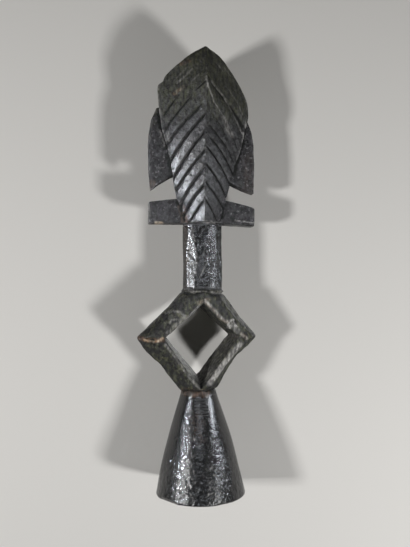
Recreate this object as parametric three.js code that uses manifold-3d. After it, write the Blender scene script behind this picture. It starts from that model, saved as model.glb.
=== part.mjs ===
// Reliquary figure carved from one block of wood: a keeled head cut with chevrons, two flat wings,
// two ear bars, a round neck, a lozenge with an open middle and a conical foot.
// Millimetres, +Z up. The front faces -Y and the origin lies under the middle of the foot.
import * as THREE from 'three';
import { mergeVertices } from 'three/addons/utils/BufferGeometryUtils.js';
import { ConvexGeometry } from 'three/addons/geometries/ConvexGeometry.js';
import Module from 'manifold-3d';

const wasm = await Module();
wasm.setup();

// Foot: a cone with a slightly swollen flank and a knife-rounded rim
const footHeight = 94;
const footBottomRadius = 40.8;
const footTopRadius = 16.4;
const footSwell = 1.6;
const footRimRound = 1.6;
const footLean = -1.6;
const rimChipWidth = 5;

// Knife marks: how deep the flats wander on foot and neck, and how far apart they lie
const knifeDepth = 0.5;
const longFlat = 140;
const shortFlat = 57;

// Lozenge: four square arms round a diamond opening that narrows towards the back. The opening is
// measured from its side corners, and the arms are the wood left round it.
const openingReachLeft = 34.3;
const openingReachRight = 33.4;
const openingRise = 31.5;
const openingDrop = 46;
const openingTaper = 6;
const openingFloorSlope = 10;
const openingSkew = 1.5;
const cornerWidthLeft = 24.7;
const cornerWidthRight = 18.6;
const sillHeight = 3;
const lintelHeight = 10.5;
const lozengeDepth = 35;
const cornerDepth = 27.5;
const lozengeShoulder = 2.2;
const cornerScarWidth = 19;
const cornerScarHeight = 7;
const cornerScarDepth = 2.5;

// Neck: a knife-cut post with a small ledge at its lower end
const neckLength = 63;
const neckRadius = 17.6;
const neckShift = 1.6;
const neckLedge = 1;
const neckLedgeHeight = 3;

// Head: a leaf whose two front facets meet in a keel, with a peaked crown above it
const headHeight = 152;
const headWidth = 82;
const keelDepth = 46.5;
const headBack = 30;
const facetSwell = 0.8;
const backRidgeWidth = 12;

// Chevron grooves on the two facets
const grooveWidth = 3;
const grooveDepth = 2;

// Wings behind the leaf, with pointed lower tips
const wingSpan = 97;
const wingFront = 13.5;
const wingThickness = 12;
const wingBevel = 1.4;

// Bars below the wings, thinner towards their ends
const barSpan = 97;
const barFront = 13;
const barRootDepth = 27;
const barEndDepth = 15;
const barBevel = 1.6;

// How deep the members run into each other, so that the carving is one body
const neckRoot = 8;
const lozengeRoot = 6;

// Levels and reaches worked out from the sizes above
const cornerLevel = footHeight + sillHeight + openingDrop;
const neckBase = cornerLevel + openingRise + lintelHeight;
const headBase = neckBase + neckLength;
const lozengeReachLeft = openingReachLeft + cornerWidthLeft;
const lozengeReachRight = openingReachRight + cornerWidthRight;

// Head outline and depths, as [share of head height, share of half width or depth]
const leafLeft = [
  [0, 0.43], [0.08, 0.48], [0.15, 0.575], [0.27, 0.665], [0.375, 0.73], [0.455, 0.805],
  [0.55, 0.905], [0.68, 0.98], [0.755, 1.01], [0.8, 0.985], [0.815, 0.895], [0.885, 0.66],
  [0.955, 0.34], [1, 0.04],
];
const leafRight = [
  [0, 0.45], [0.115, 0.515], [0.225, 0.612], [0.34, 0.72], [0.425, 0.83], [0.53, 0.92],
  [0.62, 1], [0.675, 1], [0.755, 0.925], [0.825, 0.775], [0.89, 0.56], [0.955, 0.3], [1, 0.04],
];
const keelLine = [
  [0, 0.64], [0.2, 0.71], [0.45, 0.8], [0.65, 0.9], [0.755, 0.98], [0.785, 1], [0.83, 0.96], [1, 0.82],
];
const edgeLine = [
  [0, 0.21], [0.15, 0.3], [0.3, 0.37], [0.5, 0.42], [0.75, 0.44], [0.85, 0.54], [0.93, 0.7], [1, 0.78],
];
const backLine = [
  [0, 0.56], [0.15, 0.68], [0.35, 0.82], [0.6, 0.97], [0.79, 1], [0.88, 0.7], [0.945, 0.2], [0.975, -0.45],
  [1, -1.18],
];

// Grooves of one facet, as [share of head height at the keel, the same at the leaf's edge]
const groovesLeft = [
  [0.775, 0.655], [0.703, 0.545], [0.634, 0.46], [0.573, 0.352], [0.481, 0.268], [0.406, 0.2],
  [0.297, 0.11], [0.205, 0.045], [0.114, -0.03],
];
const groovesRight = [
  [0.812, 0.54], [0.765, 0.46], [0.65, 0.355], [0.54, 0.31], [0.42, 0.25], [0.335, 0.175],
  [0.217, 0.065], [0.118, -0.01],
];

// Smooth value at a share of a run, through stations of [share, value] (cubic Hermite)
function profile(stations, share) {
  const last = stations.length - 1;
  let i = 0;
  while (i < last - 1 && share > stations[i + 1][0]) i += 1;
  const slope = (k) => {
    const before = stations[Math.max(k - 1, 0)];
    const after = stations[Math.min(k + 1, last)];
    return (after[1] - before[1]) / (after[0] - before[0]);
  };
  const [start, low] = stations[i];
  const [end, high] = stations[i + 1];
  const run = end - start;
  const t = THREE.MathUtils.clamp((share - start) / run, 0, 1);
  const ease = t * t * (3 - 2 * t);
  const swing = t * (1 - t) * run;
  return low + (high - low) * ease + swing * ((1 - t) * slope(i) - t * slope(i + 1));
}

// Shallow unevenness that a knife leaves on a round flank, in millimetres
function knifeWave(angle, height, seed) {
  const slow = Math.sin(2 * angle + (2 * Math.PI * height) / longFlat + seed);
  const quick = Math.sin(5 * angle - (2 * Math.PI * height) / shortFlat + 2.3 * seed);
  return knifeDepth * (0.6 * slow + 0.4 * quick);
}

// Closed skin through rings of points: counter-clockwise seen from the end the rings run to
function loft(rings) {
  const count = rings[0].length;
  const positions = rings.flat().flatMap((point) => [point.x, point.y, point.z]);
  const indices = [];
  for (let k = 0; k + 1 < rings.length; k += 1) {
    for (let j = 0; j < count; j += 1) {
      const a = k * count + j;
      const b = k * count + ((j + 1) % count);
      indices.push(a, b, b + count, a, b + count, a + count);
    }
  }
  const capEnd = (ring, first, outward) => {
    const middle = ring.reduce((sum, point) => sum.add(point), new THREE.Vector3());
    middle.divideScalar(count);
    const centre = positions.length / 3;
    positions.push(middle.x, middle.y, middle.z);
    for (let j = 0; j < count; j += 1) {
      const next = (j + 1) % count;
      if (outward) indices.push(centre, first + j, first + next);
      else indices.push(centre, first + next, first + j);
    }
  };
  capEnd(rings[0], 0, false);
  capEnd(rings[rings.length - 1], (rings.length - 1) * count, true);
  const geometry = new THREE.BufferGeometry();
  geometry.setAttribute('position', new THREE.Float32BufferAttribute(positions, 3));
  geometry.setIndex(indices);
  return geometry;
}

// Closed skin of a frame: sections of equal count, the last joined to the first
function hoop(sections) {
  const count = sections[0].length;
  const positions = sections.flat().flatMap((point) => [point.x, point.y, point.z]);
  const indices = [];
  sections.forEach((section, k) => {
    const here = k * count;
    const there = ((k + 1) % sections.length) * count;
    for (let j = 0; j < count; j += 1) {
      const next = (j + 1) % count;
      indices.push(here + j, there + j, there + next, here + j, there + next, here + next);
    }
  });
  const geometry = new THREE.BufferGeometry();
  geometry.setAttribute('position', new THREE.Float32BufferAttribute(positions, 3));
  geometry.setIndex(indices);
  return geometry;
}

function solidOf(geometry) {
  const bare = geometry.clone();
  bare.deleteAttribute('normal');
  bare.deleteAttribute('uv');
  const merged = mergeVertices(bare);
  const vertProperties = new Float32Array(merged.getAttribute('position').array);
  const triVerts = new Uint32Array(merged.getIndex().array);
  return new wasm.Manifold(new wasm.Mesh({ numProp: 3, vertProperties, triVerts }));
}

function geometryOf(solid) {
  const mesh = solid.getMesh();
  const geometry = new THREE.BufferGeometry();
  geometry.setAttribute('position', new THREE.Float32BufferAttribute(mesh.vertProperties, 3));
  geometry.setIndex(Array.from(mesh.triVerts));
  geometry.computeVertexNormals();
  return geometry;
}

// One level of a round member; the seed sets where its knife flats lie
function roundRing(height, radius, shiftX, sides, seed) {
  const ring = [];
  for (let j = 0; j < sides; j += 1) {
    const angle = (2 * Math.PI * j) / sides;
    const reach = radius + knifeWave(angle, height, seed);
    ring.push(new THREE.Vector3(shiftX + reach * Math.cos(angle), reach * Math.sin(angle), height));
  }
  return ring;
}

// Foot: rings of a swollen cone, with a rounded rim and a flat underside
function footSolid() {
  const sides = 40;
  const steps = 9;
  const seed = 1;
  const rings = [roundRing(0, footBottomRadius - footRimRound, 0, sides, seed)];
  for (let k = 0; k <= steps; k += 1) {
    const share = k / steps;
    const height = footRimRound + share * (footHeight - footRimRound);
    const cone = THREE.MathUtils.lerp(footBottomRadius, footTopRadius, share);
    const swell = footSwell * Math.sin(Math.PI * share);
    rings.push(roundRing(height, cone + swell, footLean * share, sides, seed));
  }
  return solidOf(loft(rings));
}

// A knocked-off bit of the foot's rim: a wedge across the bottom edge at an angle about the axis
function rimChip(degrees, width) {
  const angle = THREE.MathUtils.degToRad(degrees);
  const out = new THREE.Vector3(Math.cos(angle), Math.sin(angle), 0);
  const side = new THREE.Vector3(-Math.sin(angle), Math.cos(angle), 0);
  const corner = (beyond, across, height) => out.clone()
    .multiplyScalar(footBottomRadius + beyond * width).addScaledVector(side, across * width)
    .setZ(height * width);
  const points = [
    corner(-0.35, 0, -0.2), corner(0.4, -1, -0.2), corner(0.4, 1, -0.2), corner(0.4, 0, 0.6),
    corner(0.6, 0, -0.2),
  ];
  return solidOf(new ConvexGeometry(points));
}

// Neck: a post with flat knife facets and a small ledge above the lozenge
function neckSolid() {
  const sides = 14;
  const steps = 8;
  const seed = 4;
  const tuckShare = 0.92;
  const tuck = tuckShare * Math.min(neckRadius, lozengeDepth / 2);
  const rings = [
    roundRing(neckBase - neckLedgeHeight, tuck, neckShift, sides, seed),
    roundRing(neckBase, neckRadius + neckLedge, neckShift, sides, seed),
  ];
  for (let k = 0; k <= steps; k += 1) {
    const height = THREE.MathUtils.lerp(neckBase + neckLedgeHeight, headBase + neckRoot, k / steps);
    rings.push(roundRing(height, neckRadius, neckShift, sides, seed));
  }
  return solidOf(loft(rings));
}

// Outer outline of the lozenge's arms, as [share of the way out from the neck or foot to the side
// corner, share of the way from the corner's level to the neck's or foot's]
const armUpperLeft = [[1, 0], [0.6, 0.37], [0.25, 0.7], [0, 0.98]];
const armUpperRight = [[0, 0.94], [0.47, 0.45], [1, 0.03]];
const armLowerRight = [[1, 0.03], [0.77, -0.14], [0.495, -0.33], [0.293, -0.54], [0, -0.93]];
const armLowerLeft = [[0, -1], [0.19, -0.8], [0.46, -0.5], [0.77, -0.26], [1, 0]];

// Point at a share of the length of a run of straight stretches
function alongRun(points, share) {
  const path = new THREE.CurvePath();
  for (let k = 0; k + 1 < points.length; k += 1) {
    path.add(new THREE.LineCurve(points[k], points[k + 1]));
  }
  return path.getPointAt(share);
}

// Outline of each side of the lozenge, in the order left to top, top to right, right to bottom,
// bottom to left; it ends inside the neck above and inside the foot below
function lozengeSides() {
  const upper = openingRise + lintelHeight;
  const lower = openingDrop + sillHeight;
  const place = (arm, inner, outer) => arm.map(([out, up]) => new THREE.Vector2(
    THREE.MathUtils.lerp(inner, outer, out), cornerLevel + up * (up > 0 ? upper : lower)));
  const top = new THREE.Vector2(neckShift, neckBase + lozengeRoot);
  const bottom = new THREE.Vector2(footLean, footHeight - lozengeRoot);
  const neckReach = neckRadius + lozengeShoulder;
  return [
    [...place(armUpperLeft, neckShift - neckReach, -lozengeReachLeft), top],
    [top, ...place(armUpperRight, neckShift + neckReach, lozengeReachRight)],
    [...place(armLowerRight, footLean + footTopRadius, lozengeReachRight), bottom],
    [bottom, ...place(armLowerLeft, footLean - footTopRadius, -lozengeReachLeft)],
  ];
}

// Corners of the opening in the order left, top, right, bottom, at the front or at the back
function openingCorners(atBack) {
  const taper = atBack ? openingTaper : 0;
  const floor = atBack ? openingFloorSlope : 0;
  return [
    new THREE.Vector2(-openingReachLeft + 0.5 * taper, cornerLevel),
    new THREE.Vector2(0, cornerLevel + openingRise - 0.6 * taper),
    new THREE.Vector2(openingReachRight - taper, cornerLevel + openingSkew),
    new THREE.Vector2(-openingSkew, cornerLevel - openingDrop + floor),
  ];
}

// Lozenge: six-sided sections carried round the opening, flat in front and bevelled outside, with
// less depth towards the two side corners
function lozengeSolid() {
  const stepsOfSide = 10;
  const bevelShare = 0.34;
  const rimShare = 0.45;
  const outlines = lozengeSides();
  const front = openingCorners(false);
  const back = openingCorners(true);
  const sections = [];
  for (let side = 0; side < 4; side += 1) {
    const next = (side + 1) % 4;
    for (let k = 0; k < stepsOfSide; k += 1) {
      const share = k / stepsOfSide;
      const outer = alongRun(outlines[side], share);
      const innerFront = front[side].clone().lerp(front[next], share);
      const innerBack = back[side].clone().lerp(back[next], share);
      const fromCorner = side % 2 === 0 ? share : 1 - share;
      const half = THREE.MathUtils.lerp(cornerDepth, lozengeDepth, 1 - (1 - fromCorner) ** 2) / 2;
      const bevelFront = outer.clone().lerp(innerFront, bevelShare);
      const bevelBack = outer.clone().lerp(innerBack, bevelShare);
      sections.push([
        new THREE.Vector3(innerFront.x, -half, innerFront.y),
        new THREE.Vector3(bevelFront.x, -half, bevelFront.y),
        new THREE.Vector3(outer.x, -rimShare * half, outer.y),
        new THREE.Vector3(outer.x, rimShare * half, outer.y),
        new THREE.Vector3(bevelBack.x, half, bevelBack.y),
        new THREE.Vector3(innerBack.x, half, innerBack.y),
      ]);
    }
  }
  return solidOf(hoop(sections));
}

// The broken scar at the lozenge's left corner: a boat-shaped splinter off the front, from near the
// opening outward, deepest at the outer end
function cornerScar() {
  const face = -cornerDepth / 2;
  const half = cornerScarHeight / 2;
  const spot = (inward, across, deep) => new THREE.Vector3(
    -lozengeReachLeft + inward * cornerScarWidth, face + deep * cornerScarDepth, cornerLevel + across * half);
  const points = [
    spot(1, -0.3, -0.4), spot(0.85, 0.7, -0.4), spot(0.85, -1.3, -0.4), spot(0.75, -0.3, 1),
    spot(-0.05, 0.7, -0.4), spot(-0.05, -1.3, -0.4), spot(-0.05, -0.3, 2),
  ];
  return solidOf(new ConvexGeometry(points));
}

function leafHalfWidth(isLeft, share) {
  return (headWidth / 2) * profile(isLeft ? leafLeft : leafRight, share);
}

// Point of a front facet, from the keel (across 0) to the leaf's edge (across 1)
function facetPoint(isLeft, share, across) {
  const sign = isLeft ? -1 : 1;
  const x = sign * leafHalfWidth(isLeft, share) * across;
  const keel = -keelDepth * profile(keelLine, share);
  const edge = -keelDepth * profile(edgeLine, share);
  const bulge = facetSwell * Math.sin(Math.PI * Math.min(across, 1));
  const y = THREE.MathUtils.lerp(keel, edge, across) - bulge;
  return new THREE.Vector3(x, y, headBase + share * headHeight);
}

// One level of the head: keel, right facet and flank, back ridge, left flank and facet
function headRing(share) {
  const acrossSteps = [0.34, 0.67, 1];
  const flankTurn = { width: 0.97, depth: 0.28 };
  const backTurn = { width: 0.42, depth: 0.7 };
  const z = headBase + share * headHeight;
  const back = headBack * profile(backLine, share);
  const edge = -keelDepth * profile(edgeLine, share);
  const flank = (isLeft) => {
    const sign = isLeft ? -1 : 1;
    const half = leafHalfWidth(isLeft, share);
    const ridge = Math.min(backRidgeWidth / 2, 0.6 * half);
    return [
      new THREE.Vector3(sign * half * flankTurn.width, THREE.MathUtils.lerp(edge, back, flankTurn.depth), z),
      new THREE.Vector3(
        sign * THREE.MathUtils.lerp(half, ridge, backTurn.width),
        THREE.MathUtils.lerp(edge, back, backTurn.depth),
        z,
      ),
      new THREE.Vector3(sign * ridge, back, z),
    ];
  };
  const right = acrossSteps.map((across) => facetPoint(false, share, across));
  const left = acrossSteps.map((across) => facetPoint(true, share, across));
  return [
    facetPoint(false, share, 0), ...right, ...flank(false), ...flank(true).reverse(), ...left.reverse(),
  ];
}

// A V-shaped groove that runs down one facet, from just past the keel to just past the edge
function grooveCutter(isLeft, keelShare, edgeShare) {
  const steps = 5;
  const overrun = 0.03;
  const nudge = 0.02;
  const onFacet = (across, lower) =>
    facetPoint(isLeft, THREE.MathUtils.lerp(keelShare, edgeShare, across) - lower, across);
  const rings = [];
  for (let k = 0; k <= steps; k += 1) {
    const across = THREE.MathUtils.lerp(-overrun, 1 + overrun, k / steps);
    const here = onFacet(across, 0);
    const run = onFacet(across + nudge, 0).sub(here).normalize();
    const down = onFacet(across, nudge).sub(here).normalize();
    const normal = new THREE.Vector3().crossVectors(run, down).normalize();
    if (normal.y > 0) normal.negate();
    const side = new THREE.Vector3().crossVectors(normal, run).normalize();
    const corner = (aside, up) => here.clone()
      .addScaledVector(side, aside * grooveWidth).addScaledVector(normal, up * grooveDepth);
    rings.push([corner(0, -1), corner(1, 1), corner(-1, 1)]);
  }
  return solidOf(loft(rings));
}

// Head: levels of the keeled leaf, closer together near the crown, with its grooves cut
function headSolid() {
  const levels = 26;
  const rings = [];
  for (let k = 0; k <= levels; k += 1) rings.push(headRing(k / levels));
  let head = solidOf(loft(rings));
  groovesLeft.forEach(([keel, edge]) => { head = head.subtract(grooveCutter(true, keel, edge)); });
  groovesRight.forEach(([keel, edge]) => { head = head.subtract(grooveCutter(false, keel, edge)); });
  return head;
}

// Outline of one wing, as [share of half span, share of head height], from its upper end round
// the outer edge to the pointed tip and back to the leaf
const wingLeft = [
  [-0.6, 0.7], [-0.86, 0.68], [-0.955, 0.61], [-1, 0.53], [-1.01, 0.46], [-1, 0.3], [-0.965, 0.195],
  [-0.78, 0.235], [-0.58, 0.272], [-0.3, 0.3], [-0.3, 0.6],
];
const wingRight = [
  [0.6, 0.68], [0.85, 0.63], [0.945, 0.55], [0.985, 0.475], [1, 0.355], [0.985, 0.18],
  [0.78, 0.2], [0.55, 0.233], [0.3, 0.26], [0.3, 0.6],
];

function wingSolid(outline) {
  const shape = new THREE.Shape(outline.map(([across, up]) =>
    new THREE.Vector2(across * (wingSpan / 2), headBase + up * headHeight)));
  const geometry = new THREE.ExtrudeGeometry(shape, {
    depth: wingThickness - 2 * wingBevel,
    bevelEnabled: true,
    bevelThickness: wingBevel,
    bevelSize: wingBevel,
    bevelOffset: -wingBevel,
    bevelSegments: 1,
  });
  geometry.rotateX(Math.PI / 2);
  geometry.translate(0, wingThickness - wingBevel - wingFront, 0);
  return solidOf(geometry);
}

// Bar section at a share of its reach, from the neck (0) to its end (1)
function barRing(sign, share, topRoot, topEnd, bottomRoot, bottomEnd) {
  const x = sign * share * (barSpan / 2);
  const top = headBase + headHeight * THREE.MathUtils.lerp(topRoot, topEnd, share ** 1.6);
  const bottom = headBase + headHeight * THREE.MathUtils.lerp(bottomRoot, bottomEnd, share);
  const depth = THREE.MathUtils.lerp(barRootDepth, barEndDepth, share);
  const front = -barFront;
  const back = front + depth;
  const corners = [
    [front, bottom + barBevel], [front + barBevel, bottom],
    [back - barBevel, bottom], [back, bottom + barBevel],
    [back, top - barBevel], [back - barBevel, top],
    [front + barBevel, top], [front, top - barBevel],
  ];
  return corners.map(([y, z]) => new THREE.Vector3(x, y, z));
}

function barSolid(sign, topRoot, topEnd, bottomRoot, bottomEnd) {
  const steps = 6;
  const rings = [];
  for (let k = 0; k <= steps; k += 1) {
    rings.push(barRing(sign, k / steps, topRoot, topEnd, bottomRoot, bottomEnd));
  }
  if (sign < 0) rings.reverse();
  return solidOf(loft(rings));
}

function reliquaryFigure() {
  const members = [
    footSolid(), lozengeSolid(), neckSolid(), headSolid(), wingSolid(wingLeft), wingSolid(wingRight),
    barSolid(-1, 0.152, 0.12, 0, -0.008), barSolid(1, 0.152, 0.092, 0.004, -0.02),
  ];
  const whole = members.reduce((sum, member) => sum.add(member));
  const cuts = [cornerScar(), rimChip(-143, rimChipWidth), rimChip(-65, rimChipWidth * 0.8)];
  return cuts.reduce((rest, cut) => rest.subtract(cut), whole);
}

const patinatedWood = new THREE.MeshStandardMaterial({ color: 0x2b2620, roughness: 0.42, metalness: 0 });

const figure = new THREE.Group();
const carving = new THREE.Mesh(geometryOf(reliquaryFigure()), patinatedWood);
carving.name = 'reliquary_figure';
figure.add(carving);

export default figure;
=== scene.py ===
# Reliquary figure carved from one block of hardwood and dark with patina: keeled head cut with
# chevrons, two wings, two ear bars, neck, open lozenge and conical foot. It lies on a pale board,
# seen from almost straight above, so the board is a plane close behind the figure's back.
import bpy
import bmesh
import numpy as np
from mathutils import Matrix, Vector


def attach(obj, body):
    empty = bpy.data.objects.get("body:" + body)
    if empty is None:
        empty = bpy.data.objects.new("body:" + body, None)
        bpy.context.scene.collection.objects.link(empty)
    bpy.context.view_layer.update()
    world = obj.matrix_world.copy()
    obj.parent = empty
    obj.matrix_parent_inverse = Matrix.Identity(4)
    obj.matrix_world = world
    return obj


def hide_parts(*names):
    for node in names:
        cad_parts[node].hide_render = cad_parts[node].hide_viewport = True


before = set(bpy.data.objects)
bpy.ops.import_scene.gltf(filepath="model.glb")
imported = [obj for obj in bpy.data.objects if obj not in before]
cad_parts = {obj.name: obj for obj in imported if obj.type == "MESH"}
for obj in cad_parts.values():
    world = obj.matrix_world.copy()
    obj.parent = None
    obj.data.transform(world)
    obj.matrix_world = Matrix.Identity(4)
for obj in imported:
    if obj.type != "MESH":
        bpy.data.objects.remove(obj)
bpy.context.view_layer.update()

MM = 0.001

# Half the figure's height, in millimetres
MIDDLE_HEIGHT = 200.0

# Camera, fitted to the photograph: place in millimetres, turn to the right and tilt up in degrees,
# lens and sensor width in millimetres
CAMERA_PLACE = (-73.47, -598.08, 194.77)
CAMERA_TURN = 7.4
CAMERA_TILT = 0.687
CAMERA_LENS = 42.779
CAMERA_SENSOR = 36

# Board under the figure's back: turn and tilt in degrees, distance from the axis at half the
# figure's height in millimetres, half side in metres
BOARD_TURN = 7.41
BOARD_TILT = 1.6
BOARD_GAP = 35.4
BOARD_HALF = 2.5

# Foot, in millimetres
FOOT_HEIGHT = 94.0
FOOT_BOTTOM = 40.8
FOOT_TOP = 16.4
FOOT_SWELL = 1.6
FOOT_RIM = 1.6
FOOT_LEAN = -1.6
# The foot's top edge is rounded over towards the lozenge: how far it rises and how far it draws in
FOOT_CAP = 2.8
FOOT_CAP_IN = 5.0

# Shallow flats that the knife left on the foot
KNIFE_DEPTH = 0.5
LONG_FLAT = 140.0
SHORT_FLAT = 57.0

# Lozenge: the opening, and the wood left round it
OPENING_LEFT = 34.3
OPENING_RIGHT = 33.4
OPENING_RISE = 31.5
OPENING_DROP = 46.0
OPENING_TAPER = 6.0
OPENING_FLOOR = 10.0
OPENING_SKEW = 1.5
CORNER_LEFT = 24.7
CORNER_RIGHT = 18.6
SILL = 3.0
LINTEL = 10.5
LOZENGE_DEPTH = 35.0
CORNER_DEPTH = 27.5
SHOULDER = 2.2
# The broken scar at the left corner: its size, how far it lies below the corner's level and how far
# it slants down over its width
SCAR_WIDTH = 19.0
SCAR_HEIGHT = 7.0
SCAR_DEPTH = 2.5
SCAR_DROP = 0.6
SCAR_SLANT = 2.16

# Neck
NECK_LENGTH = 63.0
NECK_RADIUS = 17.6
NECK_SHIFT = 1.6
NECK_LEDGE = 1.0
# Flat cuts round the neck, as [degrees from the front towards the right, millimetres from the axis]
NECK_CUTS = [
    [-97, 17.7], [-68, 18.3], [-31, 17.2], [-7, 16.2], [13, 16.9], [40, 18.0], [83, 17.8],
    [110, 17.6], [138, 17.4], [165, 17.0], [-168, 17.2], [-142, 17.6], [-120, 17.8],
]

# Head
HEAD_HEIGHT = 152.0
HEAD_WIDTH = 82.0
KEEL_DEPTH = 46.5
HEAD_BACK = 30.0
FACET_SWELL = 0.8
BACK_RIDGE = 12.0
CREST_SOFT = 45.2
CREST_LIMIT = 45.95

# Wings and ear bars
WING_SPAN = 97.0
WING_FRONT = 13.5
WING_THICK = 12.0
WING_ROOT_RISE = 7.5
BAR_SPAN = 97.0
BAR_FRONT = 13.0
BAR_ROOT_DEPTH = 27.0
BAR_END_DEPTH = 15.0

# How deep the members run into each other before they are united, and the shortest edge and the
# smallest height of a triangle that are kept after it
NECK_ROOT = 8.0
LOZENGE_ROOT = 6.0
SHORTEST_EDGE = 0.04
THINNEST_TRIANGLE = 0.01

# Edges that turn by more degrees than this stay sharp
SHARP_TURN = 40

CORNER_LEVEL = FOOT_HEIGHT + SILL + OPENING_DROP
NECK_BASE = CORNER_LEVEL + OPENING_RISE + LINTEL
HEAD_BASE = NECK_BASE + NECK_LENGTH
REACH_LEFT = OPENING_LEFT + CORNER_LEFT
REACH_RIGHT = OPENING_RIGHT + CORNER_RIGHT

# Head outline and depths, as [share of head height, share of half width or depth]
LEAF_LEFT = [
    [0, 0.43], [0.08, 0.48], [0.15, 0.575], [0.27, 0.665], [0.375, 0.73], [0.455, 0.805],
    [0.55, 0.905], [0.68, 0.975], [0.755, 1.0], [0.79, 0.995], [0.804, 0.975], [0.812, 0.93],
    [0.819, 0.89], [0.832, 0.872], [0.848, 0.84], [0.884, 0.695], [0.921, 0.51], [0.955, 0.34], [1, 0.04],
]
LEAF_RIGHT = [
    [0, 0.45], [0.115, 0.515], [0.225, 0.612], [0.34, 0.72], [0.425, 0.83], [0.53, 0.92],
    [0.62, 1], [0.675, 1], [0.728, 0.96], [0.772, 0.88], [0.845, 0.7], [0.89, 0.545], [0.955, 0.3], [1, 0.04],
]
KEEL_LINE = [
    [0, 0.64], [0.2, 0.71], [0.45, 0.8], [0.65, 0.9], [0.755, 0.98], [0.785, 1], [0.83, 0.96], [1, 0.82],
]
EDGE_LINE = [
    [0, 0.21], [0.15, 0.3], [0.3, 0.37], [0.5, 0.42], [0.75, 0.44], [0.85, 0.54], [0.93, 0.7], [1, 0.78],
]
BACK_LINE = [
    [0, 0.56], [0.15, 0.68], [0.35, 0.82], [0.6, 0.97], [0.79, 1], [0.88, 0.7], [0.945, 0.2],
    [0.975, -0.45], [1, -1.18],
]

# The same lines without the peak at the keel and without the step of the left outline, which the
# facets follow away from the keel and inside the outline
KEEL_SOFT = [[0, 0.64], [0.2, 0.71], [0.45, 0.8], [0.65, 0.89], [0.76, 0.945], [0.86, 0.93], [1, 0.82]]
LEAF_SOFT = [
    [0, 0.43], [0.08, 0.48], [0.15, 0.575], [0.27, 0.665], [0.375, 0.73], [0.455, 0.805],
    [0.55, 0.905], [0.68, 0.965], [0.755, 0.965], [0.815, 0.875], [0.884, 0.69], [0.955, 0.34], [1, 0.04],
]

# How far a groove drops from the keel to the leaf's edge, as [share of head height at the keel, drop]
DROP_LEFT = [
    [-0.25, 0.12], [0.124, 0.18], [0.213, 0.19], [0.308, 0.225], [0.407, 0.229], [0.514, 0.262],
    [0.607, 0.25], [0.683, 0.236], [0.79, 0.235], [0.86, 0.2], [0.93, 0.12], [1, 0],
]
DROP_RIGHT = [
    [-0.25, 0.1], [0.135, 0.17], [0.225, 0.15], [0.333, 0.186], [0.433, 0.207], [0.505, 0.214],
    [0.57, 0.232], [0.66, 0.285], [0.757, 0.308], [0.83, 0.269], [0.9, 0.15], [1, 0],
]

# Grooves of each facet: share of head height at the keel, drop to the leaf's edge, depth, width above
# the bottom line and below it at the keel and at the edge, in millimetres, and where it begins and
# ends between keel (0) and leaf's edge (1)
GROOVES_LEFT = [
    [0.79, 0.2, 1.3, 0.8, 1.5, 1.5, -1, 0.2], [0.897, 0.298, 1.0, 1.0, 1.3, 1.3, 0.6, 0.93],
    [0.8, 0.28, 1.3, 1.2, 1.6, 1.4, 0.33, 2], [0.683, 0.236, 1.6, 1.4, 1.6, 1.5, 0.12, 2],
    [0.607, 0.25, 1.8, 1.5, 1.7, 1.4, -1, 2], [0.514, 0.262, 1.8, 1.5, 1.6, 1.4, -1, 2],
    [0.407, 0.229, 1.8, 1.4, 1.5, 1.4, -1, 2], [0.308, 0.225, 1.9, 1.5, 1.7, 1.4, -1, 2],
    [0.213, 0.19, 1.8, 1.5, 1.6, 1.4, -1, 2], [0.124, 0.182, 1.7, 1.3, 1.4, 1.4, -1, 2],
]
GROOVES_RIGHT = [
    [0.828, 0.267, 2.0, 0.9, 3.0, 13.0, -1, 0.97], [0.72, 0.31, 1.1, 4.2, 1.4, 1.4, 0.42, 0.92],
    [0.655, 0.285, 0.7, 1.6, 2.2, 2.6, 0.2, 2], [0.57, 0.232, 1.1, 1.4, 1.8, 1.6, 0.1, 2],
    [0.505, 0.214, 1.3, 1.3, 1.5, 1.5, 0.14, 2], [0.433, 0.207, 1.5, 1.3, 1.6, 1.4, -1, 2],
    [0.333, 0.186, 1.6, 1.3, 1.6, 1.4, -1, 2], [0.228, 0.15, 1.6, 1.3, 1.6, 1.4, -1, 2],
    [0.135, 0.18, 1.6, 1.3, 1.4, 1.4, -1, 2],
]

# Each side of the head, left (-1) and right (1): drops, outline, outline inside it, and grooves
SIDES = {
    -1: (DROP_LEFT, LEAF_LEFT, LEAF_SOFT, GROOVES_LEFT),
    1: (DROP_RIGHT, LEAF_RIGHT, LEAF_RIGHT, GROOVES_RIGHT),
}


def profile(stations, share):
    """Smooth value at each share: a cubic between neighbouring stations [share, value], whose slope
    at a station is the rise between the stations on both sides of it over their run."""
    at, value = np.array(stations, float).T
    order = np.arange(len(at))
    before = np.maximum(order - 1, 0)
    after = np.minimum(order + 1, len(at) - 1)
    slope = (value[after] - value[before]) / (at[after] - at[before])
    i = np.clip(np.searchsorted(at, share) - 1, 0, len(at) - 2)
    run = at[i + 1] - at[i]
    t = np.clip((share - at[i]) / run, 0, 1)
    ease = t * t * (3 - 2 * t)
    swing = t * (1 - t) * run
    return value[i] + (value[i + 1] - value[i]) * ease + swing * ((1 - t) * slope[i] - t * slope[i + 1])


def mix(low, high, share):
    """The value that lies at a share of the way from low to high."""
    return low + (high - low) * share


def step(value, start, end):
    """0 before start, 1 after end, and an eased rise between them."""
    t = np.clip((value - start) / (end - start), 0, 1)
    return t * t * (3 - 2 * t)


def band(value, start, full, fading, end):
    """1 from full to fading, 0 before start and after end, and an eased way between them."""
    return step(value, start, full) * (1 - step(value, fading, end))


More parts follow.
